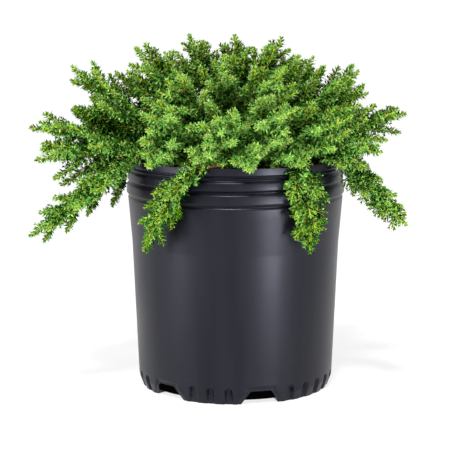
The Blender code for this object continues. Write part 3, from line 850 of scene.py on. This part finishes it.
class Foliage:
    """Gathers the needles, tips and twigs of one mass."""

    def __init__(self, mass, space, bough):
        self.mass = mass
        self.space = space
        self.bough = bough
        self.rng = random.Random(f"{mass.name} shoots")
        seed = sum(ord(letter) * (place + 1) for place, letter in enumerate(mass.name))
        self.dice = np.random.default_rng(seed)
        self.two_ranked = mass.tier.turn == TWO_RANKED
        self.trailing = TRAILING_SHOOT if self.two_ranked else 1.0
        self.twigs = Pile()
        self.needles = []
        self.tips = []

    def tints(self, freshness_and_light, count):
        """Tints along a shoot, from 0 inside the mass, partly painted shade, to the last at its fresh tips.
        """
        middle = freshness_and_light * TINT_RANGE + self.rng.gauss(TINT_START, SHOOT_TINT_STRAY)
        values = np.repeat(np.linspace(middle - TINT_CHANGE, middle + TINT_CHANGE, count), 3)
        values = values + self.dice.normal(0.0, NEEDLE_TINT_STRAY, len(values))
        return np.clip(values, 0, len(TINTS) - 1).astype(int)

    def grow(self):
        mass = self.mass
        self.plume(mass.leader, LEADER._replace(bare=LEADER.bare * mass.tier.first), self.trailing)
        for axis in mass.sides:
            self.plume(self.shortened(axis), SIDE, self.trailing)
        for axis in mass.fine_sides:
            self.plume(self.shortened(axis), FINE, 1.0)
        if self.bough:
            self.clothe_bough(Route(self.bough[round(BARE_BOUGH * len(self.bough)):]))

    def clothe_bough(self, route):
        """Short shoots on the outer part of a bough, up to where its mass starts."""
        place = 0.0
        index = 0
        while place < route.length:
            length = BOUGH_SHOOT * between(BOUGH_SHOOT_SHARES, place / route.length)
            length *= self.rng.uniform(*BOUGH_SHOOT_LENGTHS)
            angle = SHOOT_ANGLES[0] + stray(self.rng, LIMB_STRAY)
            self.shoot(route, place, GOLDEN_TURN * index, angle, length, BOUGH_FRESHNESS_AND_LIGHT)
            place += BOUGH_SHOOT_PITCH
            index += 1

    def shortened(self, axis):
        """The part of a plume's axis that stays in the mass's own space."""
        for step in range(3, len(axis)):
            if not self.space.fits(self.mass, axis[step]):
                return axis[:step]
        return axis

    def plume(self, axis, kind, trailing):
        """A plume: its axis, the shoots along it and the needles on all of them."""
        route = Route(axis)
        total = route.length - TIP_ROOM
        if total < SHORTEST_PLUME:
            return
        places = np.linspace(0.0, total, max(4, round(total / AXIS_PIECE)))
        shares = places / total
        radii = between((kind.radius, TIP_RADIUS), shares)
        ages = np.digitize(shares[:-1], (kind.woody, kind.woody + RIPENING))
        add_tube(self.twigs, route.at(places), radii, AXIS_SIDES, ages)
        turn = self.rng.uniform(0.0, 360.0)
        place = max(kind.bare * total, LEAST_BARE)
        index = 0
        while place < total - BARE_TIP:
            share = place / total
            roll, size = self.rank(turn, index)
            gain = SHOOT_GAIN * self.trailing * (total - place)
            length = min(kind.longest * trailing, SHOOT_FIRST + gain) * size
            length *= self.rng.uniform(*SHOOT_LENGTHS)
            angle = between(SHOOT_ANGLES, share) + stray(self.rng, SHOOT_STRAY)
            self.shoot(route, place, roll, angle, length, share)
            place += SHOOT_PITCH * self.rng.uniform(*SHOOT_PITCHES)
            index += 1
        foot = kind.bare * total
        young = total - YOUNG_TIP
        middle = (foot + young) / 2
        # Lower on a plume the needles take darker tints, partly painted shade of the mass's inside
        self.clothe(route, foot, middle, *CORE, kind.radius * CORE_STEM, False)
        self.clothe(route, middle, young, *AXIS, TIP_RADIUS, False)
        self.clothe(route, young, total, *YOUNG, TIP_RADIUS)

    def rank(self, turn, index):
        """How a shoot is rolled round its plume, and its share of the length."""
        if self.two_ranked:
            roll = RANKS[index % len(RANKS)] + stray(self.rng, RANK_STRAY)
            return roll, TOP_RANK if index % 3 == 2 else 1.0
        around = math.radians(turn + GOLDEN_TURN * index)
        roll = math.degrees(around + RANK_CROWDING * math.sin(2 * around)) + stray(self.rng, ROUND_STRAY)
        return roll, between(RANK_LENGTHS, abs(math.sin(math.radians(roll))))

    def shoot(self, limb, place, roll, angle, length, share, spur=False):
        """A shoot of needles at a place on a limb, with spurs on it when it is long enough."""
        root = Vector(limb.at(place))
        along = Vector(limb.along(place))
        leaving = leave(along, roll, angle)
        arriving = (leaving + along * SHOOT_FORWARD + UP * SHOOT_LIFT).normalized()
        for shrink in SHOOT_SHRINKS:
            size = length * shrink
            belly = root + leaving * size / 2
            tip = belly + arriving * size / 2
            if self.space.fits(self.mass, tip) and self.space.fits(self.mass, belly):
                break
        else:
            return
        if size < SHORTEST_SHOOT * shrink:
            return
        route = Route(bow(root, belly, tip, SHOOT_STEPS))
        radius = SPUR_RADIUS if spur else SHOOT_RADIUS
        points = route.at(np.linspace(0.0, route.length, 2 if spur else 3))
        radii = np.linspace(radius, radius * TWIG_TAPER, len(points))
        add_tube(self.twigs, points, radii, 3, np.full(len(points) - 1, YOUNG_TWIG))
        # Shoots lower on the plume take darker tints, partly painted shade
        freshness_and_light = between(SHOOT_FRESHNESS_AND_LIGHT, share)
        self.clothe(route, NEEDLE_START, route.length, freshness_and_light, 1.0, radius, True, spur)
        if spur or size < SPUR_LEAST:
            return
        count = int(size * SPUR_COUNT_ZONE / SPUR_PITCH)
        for order in range(count):
            place = size * (SPUR_FIRST + SPUR_ZONE * (order + 0.5) / count)
            spur_roll = roll + (90.0 if order % 2 else -90.0) + stray(self.rng, SPUR_ROLL_STRAY)
            spur_length = min(SPUR_LONGEST, (size - place) * SPUR_SHARE + SPUR_START)
            spur_length *= self.rng.uniform(*SPUR_LENGTHS)
            spur_angle = SPUR_ANGLE + stray(self.rng, LIMB_STRAY)
            self.shoot(route, place, spur_roll, spur_angle, spur_length, share, True)

    def clothe(self, route, first, last, freshness_and_light, pitch, stem, ends=True, spur=False):
        """Whorls of three needles along a route, and where it ends steeper ones and a bud."""
        count = max(2, round((last - first) / (WHORL_PITCH * pitch)))
        places = np.linspace(first, last, count)
        centres = route.at(places)
        along = route.along(places)
        side, other = sides_of(along, abs(along[0][2]) >= NEAR_UPRIGHT)
        start = self.dice.uniform(0.0, math.tau)
        turns = start + np.arange(count)[:, None] * (math.pi / 3) + np.arange(3)[None, :] * (math.tau / 3)
        turns = turns + self.dice.normal(0.0, TURN_STRAY, turns.shape)
        out = side[:, None] * np.cos(turns)[..., None] + other[:, None] * np.sin(turns)[..., None]
        from_tip = np.clip((last - places) / STEEP_ZONE, 0.0, 1.0)[:, None] if ends else np.ones((count, 1))
        angles = between(NEEDLE_ANGLES, from_tip) + self.dice.normal(0.0, NEEDLE_STRAY, turns.shape)
        angles = np.radians(angles)[..., None]
        lengths = NEEDLE_LENGTH * between(NEEDLE_SHARES, from_tip)
        lengths = lengths * self.dice.uniform(*NEEDLE_LENGTHS, turns.shape)
        forward = along[:, None] * np.cos(angles) + out * np.sin(angles)
        inner = along[:, None] * np.sin(angles) - out * np.cos(angles)
        across = np.cross(inner, forward)
        roots = centres[:, None] + out * stem * NEEDLE_ROOT
        directions = [part.reshape(-1, 3) for part in (roots, forward, across, inner)]
        self.needles.append((*directions, lengths.ravel(), self.tints(freshness_and_light, count)))
        if ends and not spur:
            self.tips.append((centres[-1], along[-1], 0 if self.rng.random() < BROWN_BUDS else 1))

    def needle_piece(self, materials):
        roots, forward, across, inner, lengths, tints = (np.concatenate(part) for part in zip(*self.needles))
        kept = clear_of_pot(roots + forward * lengths[:, None])
        roots, forward, across, inner = (part[kept] for part in (roots, forward, across, inner))
        lengths = lengths[kept][:, None]
        middle = roots + forward * lengths * NEEDLE_WIDEST + inner * NEEDLE_KEEL
        left = middle - across * NEEDLE_WIDTH / 2
        right = middle + across * NEEDLE_WIDTH / 2
        tip = roots + forward * lengths
        points = np.stack([roots, left, right, tip], axis=1).reshape(-1, 3)
        faces = repeated([(0, 1, 2), (1, 3, 2), (0, 3, 1), (0, 2, 3)], len(roots), 4)
        kinds = (tints[kept][:, None] * 2 + np.array([1, 1, 0, 0])[None]).ravel()
        return make_piece("needles_" + self.mass.name, points, faces, materials, kinds)

    def tip_piece(self, materials):
        """Small pointed buds at the ends of the shoots."""
        ends, along, kinds = (np.array(part) for part in zip(*self.tips))
        side, other = sides_of(along, np.abs(along[:, 2:3]) > NEAR_UPRIGHT)
        waist = ends + along * BUD_LENGTH * BUD_WAIST
        turns = [math.tau * corner / 3 for corner in range(3)]
        spokes = [side * math.cos(turn) + other * math.sin(turn) for turn in turns]
        corners = [waist + spoke * BUD_WIDTH / 2 for spoke in spokes]
        points = np.stack([ends - along * BUD_SINK, *corners, ends + along * BUD_LENGTH], axis=1)
        pattern = [(0, 1, 2), (0, 2, 3), (0, 3, 1), (4, 2, 1), (4, 3, 2), (4, 1, 3)]
        faces = repeated(pattern, len(ends), 5)
        return make_piece("shoot_tips_" + self.mass.name, points.reshape(-1, 3), faces, materials,
                          np.repeat(kinds, 6))


def build_foliage(masses, boughs, needle_materials, bud_materials, twig_materials):
    space = Space(masses)
    for mass in masses:
        foliage = Foliage(mass, space, boughs.get(mass.name))
        foliage.grow()
        dress(foliage.needle_piece(needle_materials), "needles", "foliage_" + mass.name)
        dress(foliage.tip_piece(bud_materials), "needles")
        dress(foliage.twigs.piece("twigs_" + mass.name, twig_materials, True), "bark")


# Limbs

def bark_relief(points, spokes, radii):
    """Cracks in the bark, drawn out along it, as a change of radius."""
    heights = np.concatenate([[0.0], np.cumsum(np.linalg.norm(np.diff(points, axis=0), axis=1))])
    out = np.zeros(spokes.shape[:2])
    for ring, side in np.ndindex(out.shape):
        x, y, z = spokes[ring, side] * radii[ring] * BOUGH_GRAIN
        place = Vector((x, y, z + heights[ring] * BOUGH_GRAIN * BOUGH_GRAIN_STRETCH))
        out[ring, side] = BARK_RELIEF * noise.noise(place, noise_basis="PERLIN_ORIGINAL")
    return out


def build_boughs(boughs, material):
    for name, path in boughs.items():
        first = (path[1] - path[0]).normalized()
        points = [path[0] - first * BOUGH_SINK] + path
        radii = np.linspace(BOUGH_FOOT_RADIUS, BOUGH_TIP_RADIUS, len(points))
        pile = Pile()
        add_tube(pile, points, radii, BOUGH_SIDES, np.zeros(len(path), int), bark_relief)
        dress(pile.piece("bark_" + name, [material], True), "bark", "bough_" + name)


def build_trunk(material):
    """The trunk with its root flare, under bark that has its own relief."""
    shares = np.linspace(0.0, 1.0, BARK_RINGS)
    known, radii, lobes = np.array(TRUNK_RINGS).T
    radii = np.interp(shares, known, radii * MM)
    lobes = np.interp(shares, known, lobes * MM)
    points = []
    for share, radius, lobe in zip(shares, radii, lobes):
        height = between((TRUNK_FOOT, TRUNK_TOP), share)
        for turn in math.tau * np.arange(BARK_SIDES) / BARK_SIDES:
            around = Vector((math.cos(turn), math.sin(turn), 0.0))
            place = Vector((around.x * TRUNK_GRAIN, around.y * TRUNK_GRAIN, height * TRUNK_GRAIN_UPWARD))
            crack = BARK_RELIEF * noise.fractal(place, *BARK_FRACTAL, noise_basis="PERLIN_ORIGINAL")
            reach = radius + lobe * math.cos(TRUNK_LOBES * turn) + crack
            points.append(trunk_centre(share) + around * reach + UP * height)
    points += [UP * TRUNK_FOOT, trunk_centre(1.0) + UP * (TRUNK_TOP + MM)]
    faces = tube_faces(BARK_RINGS, BARK_SIDES)[:, [0, 2, 1]]
    dress(make_piece("trunk_bark", points, faces, [material], None, True), "bark", "trunk")


# Pot and mix

def base_azimuths():
    """Azimuths of the notches and of the flutes, worked round from the front."""
    notches = []
    flutes = []
    azimuth = FIRST_NOTCH
    for count in reversed(FLUTES_IN_SECTOR):
        notches.append(azimuth)
        flutes += [azimuth + FLUTE_MARGIN + FLUTE_PITCH * index for index in range(count)]
        azimuth += 2 * FLUTE_MARGIN + FLUTE_PITCH * (count - 1)
    return notches, flutes


def rounded(points, radius, steps):
    """An open outline with its inner corners turned into short bows."""
    points = [Vector(point) for point in points]
    out = [points[0]]
    for before, corner, after in zip(points, points[1:], points[2:]):
        sides = [before - corner, after - corner]
        start, end = (corner + side.normalized() * min(radius, side.length * CORNER_SHARE) for side in sides)
        out += bow(start, corner, end, steps)
    return out + [points[-1]]


def refined(points):
    """An outline of (radius, height) with rows close enough for the foot's relief."""
    out = [points[0]]
    for first, second in zip(points, points[1:]):
        low, high = sorted((first.y, second.y))
        if low < FOOT_ZONE < high and high - low > WALL_ROW:
            edge = first.lerp(second, (first.y - FOOT_ZONE) / (first.y - second.y))
            out += refined([first, edge])[1:] + refined([edge, second])[1:]
            continue
        count = max(1, math.ceil((second - first).length / (FOOT_ROW if low < FOOT_ZONE else WALL_ROW)))
        out += [first.lerp(second, step / count) for step in range(1, count + 1)]
    return out


def smoothstep(value):
    value = np.clip(value, 0.0, 1.0)
    return value * value * (3.0 - 2.0 * value)


def foot_relief(azimuths, radius, height, notches, flutes):
    """How far the wall is pressed in, round the pot at one height."""
    depth = np.zeros(len(azimuths))
    half = FLUTE_WIDTH / 2
    above = max(height - (FLUTE_HEIGHT - half), 0.0)
    for flute in flutes:
        across = np.radians(turn_between(azimuths, flute)) * radius
        inside = half - np.hypot(across, above)
        depth = np.maximum(depth, FLUTE_DEPTH * smoothstep(inside / FLUTE_WALL))
    share = min(max(height / NOTCH_HEIGHT, 0.0), 1.0)
    width = between((NOTCH_FOOT_WIDTH, NOTCH_TOP_WIDTH), share) / 2 + PANEL_BORDER
    for notch in notches:
        across = np.radians(turn_between(azimuths, notch)) * radius
        inside = np.minimum(width - np.abs(across), NOTCH_HEIGHT + PANEL_BORDER - height)
        depth = np.maximum(depth, PANEL_DEPTH * smoothstep(inside / PANEL_WALL))
    return depth


def build_pot(material):
    """The shell: rim bands, plain wall, fluted foot and notches that open to the mix."""
    notches, flutes = base_azimuths()
    outer = refined(rounded(POT_WALL, WALL_CORNER, CORNER_STEPS))
    profile = [Vector(point) for point in (*UNDERSIDE, *outer[::-1], *RIM_EDGE, *reversed(POT_INSIDE))]
    azimuths = np.arange(POT_SEGMENTS) * 360.0 / POT_SEGMENTS
    angles = np.radians(azimuths)
    sway = sum(size * np.sin(waves * angles + start) for waves, size, start in LIP_WAVES)
    rings = []
    for row, point in enumerate(profile):
        out = point.x * MM
        level = point.y * MM
        radius = np.full(POT_SEGMENTS, out)
        height = np.full(POT_SEGMENTS, level)
        if point.y < FOOT_ZONE and len(UNDERSIDE) <= row < len(profile) - len(POT_INSIDE):
            deepest = out - radius_at(level, POT_INSIDE) - THINNEST_WALL
            radius = radius - np.minimum(foot_relief(azimuths, out, level, notches, flutes), deepest)
        if level > LIP_ZONE:
            share = min(1.0, (level - LIP_ZONE) / (POT_HEIGHT - LIP_ZONE))
            radius = radius + LIP_SWAY * sway * share
            height = height - LIP_SWAY * (LIP_DIP + np.roll(sway, LIP_SHIFT)) * share
        rings.append(np.stack([radius * np.sin(angles), -radius * np.cos(angles), height], axis=1))
    points = np.concatenate(rings + [[(0.0, 0.0, 0.0)], [(0.0, 0.0, FLOOR)]])
    near, far = (corners.ravel() for corners in grid(len(rings), POT_SEGMENTS))
    shell = bmesh.new()
    verts = [shell.verts.new(point) for point in points]
    for wall in zip(near, far, far + POT_SEGMENTS, near + POT_SEGMENTS):
        shell.faces.new([verts[index] for index in wall])
    bottom, top = verts[-2:]
    last = verts[-2 - POT_SEGMENTS:-2]
    for segment in range(POT_SEGMENTS):
        following = (segment + 1) % POT_SEGMENTS
        shell.faces.new((bottom, verts[following], verts[segment]))
        shell.faces.new((top, last[segment], last[following]))
    mesh = bpy.data.meshes.new("pot_shell")
    shell.to_mesh(mesh)
    shell.free()
    mesh.materials.append(material)
    pot = link("pot_shell", mesh)
    cut_notches(pot, notches)
    pot.data.shade_smooth()
    pot.data.set_sharp_from_angle(angle=math.radians(CREASE))
    dress(pot, "pot_plastic", "pot")


def cut_notches(pot, notches):
    cutters = bpy.data.collections.new("notch_cutters")
    bpy.context.scene.collection.children.link(cutters)
    foot = NOTCH_FOOT_WIDTH / 2
    top = NOTCH_TOP_WIDTH / 2
    outline = [(-foot, -CUTTER_BELOW), (-top, NOTCH_HEIGHT), (top, NOTCH_HEIGHT), (foot, -CUTTER_BELOW)]
    outline = rounded(outline, NOTCH_CORNER, CORNER_STEPS)
    for index, azimuth in enumerate(notches):
        shape = bmesh.new()
        face = shape.faces.new([shape.verts.new((point.x, -NOTCH_INNER, point.y)) for point in outline])
        grown = bmesh.ops.extrude_face_region(shape, geom=[face])
        moved = [item for item in grown["geom"] if isinstance(item, bmesh.types.BMVert)]
        bmesh.ops.translate(shape, verts=moved, vec=(0.0, NOTCH_INNER - CUTTER_OUTER, 0.0))
        bmesh.ops.recalc_face_normals(shape, faces=shape.faces)
        shape.transform(Matrix.Rotation(math.radians(azimuth), 4, "Z"))
        mesh = bpy.data.meshes.new(f"notch_cutter_{index}")
        shape.to_mesh(mesh)
        shape.free()
        cutters.objects.link(bpy.data.objects.new(mesh.name, mesh))
    cut = pot.modifiers.new("Notches", "BOOLEAN")
    cut.operation = "DIFFERENCE"
    cut.operand_type = "COLLECTION"
    cut.collection = cutters
    cut.solver = "EXACT"
    bpy.context.view_layer.update()
    finished = bpy.data.meshes.new_from_object(pot.evaluated_get(bpy.context.evaluated_depsgraph_get()))
    pot.modifiers.clear()
    pot.data = finished
    for cutter in list(cutters.objects):
        bpy.data.objects.remove(cutter, do_unlink=True)
    bpy.data.collections.remove(cutters)


def mix_surface(x, y):
    """Height of the mix's lumpy upper face."""
    out = math.hypot(x, y)
    lumps = noise.fractal(Vector((x * MIX_GRAIN, y * MIX_GRAIN, 0.0)), *MIX_FRACTAL)
    edge = max(0.0, (out - MIX_FLAT) / MIX_SLOPE)
    return MIX_HEIGHT - (MIX_HEIGHT - MIX_EDGE) * edge + MIX_RELIEF * (lumps - MIX_LEVEL)


def build_mix(materials, chip_materials):
    """The filling, painted nearly black as shade from some way under its top, with chips of bark on it."""
    angles = np.arange(MIX_SEGMENTS) * math.tau / MIX_SEGMENTS
    edge = radius_at(MIX_EDGE, POT_INSIDE) - GAP
    places = [(edge * ring / MIX_RINGS, None) for ring in range(1, MIX_RINGS + 1)]
    places += [(radius_at(height, POT_INSIDE) - GAP, height) for height in MIX_SIDES]
    points = []
    for out, height in places:
        for angle in angles:
            x = out * math.cos(angle)
            y = out * math.sin(angle)
            points.append((x, y, height or mix_surface(x, y)))
    points += [(0.0, 0.0, mix_surface(0.0, 0.0)), (0.0, 0.0, MIX_SIDES[-1])]
    # Faces below the second side ring get the painted shade
    painted_shade = np.repeat(np.arange(len(places) - 1) > MIX_RINGS, MIX_SEGMENTS)
    kinds = np.concatenate([painted_shade, painted_shade, np.zeros(MIX_SEGMENTS), np.ones(MIX_SEGMENTS)])
    bed = make_piece("mix_bed", points, tube_faces(len(places), MIX_SEGMENTS), materials, kinds, True)
    dress(bed, "potting_mix", "potting_mix")
    build_chips(edge, chip_materials)


def build_chips(edge, materials):
    """Chips of bark that lie on the mix."""
    rng = random.Random("chips")
    pile = Pile()
    cube = np.array([(x, y, z) for x in (-0.5, 0.5) for y in (-0.5, 0.5) for z in (-0.5, 0.5)])
    quads = [(0, 1, 3, 2), (4, 6, 7, 5), (0, 4, 5, 1), (2, 3, 7, 6), (0, 2, 6, 4), (1, 5, 7, 3)]
    faces = np.array([(a, b, c) for a, b, c, d in quads] + [(a, c, d) for a, b, c, d in quads])
    for _ in range(CHIP_COUNT):
        out = math.sqrt(rng.random()) * (edge - CHIP_ROOM)
        turn = rng.uniform(0.0, math.tau)
        x = out * math.cos(turn)
        y = out * math.sin(turn)
        size = [rng.uniform(*limits) * MM for limits in CHIP_SIZES]
        strays = np.array([rng.uniform(-1, 1) for _ in range(cube.size)]).reshape(cube.shape)
        bent = cube * (1.0 + CHIP_BEND * strays)
        turned = Matrix.Rotation(rng.uniform(0.0, math.tau), 3, "Z")
        for axis, tilt in zip("XY", CHIP_TILTS):
            turned = turned @ Matrix.Rotation(rng.gauss(0.0, tilt), 3, axis)
        points = (bent * size) @ np.array(turned).T + (x, y, mix_surface(x, y) + CHIP_LIFT)
        pile.add(points, faces, np.full(len(faces), rng.randrange(len(materials))))
    dress(pile.piece("bark_chips", materials), "potting_mix")


# Stage

def add_light(name, light):
    data = bpy.data.lights.new(name, "AREA")
    data.shape = "RECTANGLE"
    data.size, data.size_y = light.size
    data.energy = light.watts
    obj = link(name, data)
    obj.location = light.place
    obj.rotation_euler = (Vector(light.target) - Vector(light.place)).to_track_quat("-Z", "Y").to_euler()
    obj.visible_camera = False


def studio_world():
    """White all round, brightest at the horizon."""
    world = bpy.data.worlds.new("studio")
    world.use_nodes = True
    tree = world.node_tree
    place = add_node(tree, "TexCoord", {})
    split = add_node(tree, "SeparateXYZ", {}, Vector=place.outputs["Generated"])
    values = dict(zip(RANGE_SOCKETS, HORIZON_BAND + WORLD_LIGHT))
    fade = add_node(tree, "MapRange", values, Value=split.outputs["Z"])
    shader = tree.nodes["Background"]
    adjust(shader, {"Color": WHITE})
    tree.links.new(fade.outputs["Result"], shader.inputs["Strength"])
    return world


def build_stage():
    scene = bpy.context.scene
    scene.view_settings.view_transform = "Standard"
    camera_data = bpy.data.cameras.new("camera")
    camera_data.sensor_width = SENSOR_WIDTH
    camera_data.lens = FOCAL_PIXELS / FRAME_WIDTH * SENSOR_WIDTH
    camera_data.shift_x = -(POT_AXIS_PIXEL - FRAME_WIDTH / 2) / FRAME_WIDTH
    camera = link("camera", camera_data)
    camera.location = CAMERA_PLACE
    camera.rotation_euler = (math.pi / 2 - CAMERA_PITCH, 0.0, 0.0)
    scene.camera = camera

    scene.world = studio_world()
    bpy.ops.mesh.primitive_plane_add(size=FLOOR_SIZE, location=(0.0, 0.0, 0.0))
    floor = bpy.context.object
    floor.name = "studio_floor"
    surface = plain("studio_floor", FLOOR_COLOUR, roughness=0.9, specular=0.0)
    adjust(principled(surface), {"Emission Color": WHITE, "Emission Strength": FLOOR_GLOW})
    floor.data.materials.append(surface)

    sun_data = bpy.data.lights.new("key", "SUN")
    sun_data.energy = SUN_STRENGTH
    sun_data.angle = math.radians(SUN_WIDTH)
    sun = link("key", sun_data)
    sun.rotation_euler = [math.radians(tilt) for tilt in SUN_TILT]
    for name, light in LIGHTS.items():
        add_light(name, light)


def main():
    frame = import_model()
    solid = frame["nodes"]["trunk"].data
    faces = [face.vertices for face in solid.polygons]
    trunk = BVHTree.FromPolygons([vert.co for vert in solid.vertices], faces)
    build_stage()
    build_pot(plastic_material())
    chips = palette(CHIP_COLOURS, roughness=0.85, specular=0.3)
    # The mix low in the pot is painted nearly black: painted shade where it shows through the notches
    painted_shade = plain("moist_mix", MIX_PAINTED_SHADE, roughness=0.95, specular=0.0)
    build_mix([mix_material(), painted_shade], chips)
    bark = bark_material()
    build_trunk(bark)
    masses, boughs = build_skeleton(trunk)
    build_boughs(boughs, bark)
    needles = []
    for name, outer, inner in TINTS:
        needles.append(plain(f"needle_{name}", outer, roughness=0.5, specular=0.08))
        needles.append(plain(f"needle_{name}_inner_face", inner, roughness=0.5, specular=0.14))
    buds = palette(BUD_COLOURS, roughness=0.6, specular=0.4)
    twigs = palette(TWIG_COLOURS, roughness=0.6, specular=0.3)
    build_foliage(masses, boughs, needles, buds, twigs)


main()
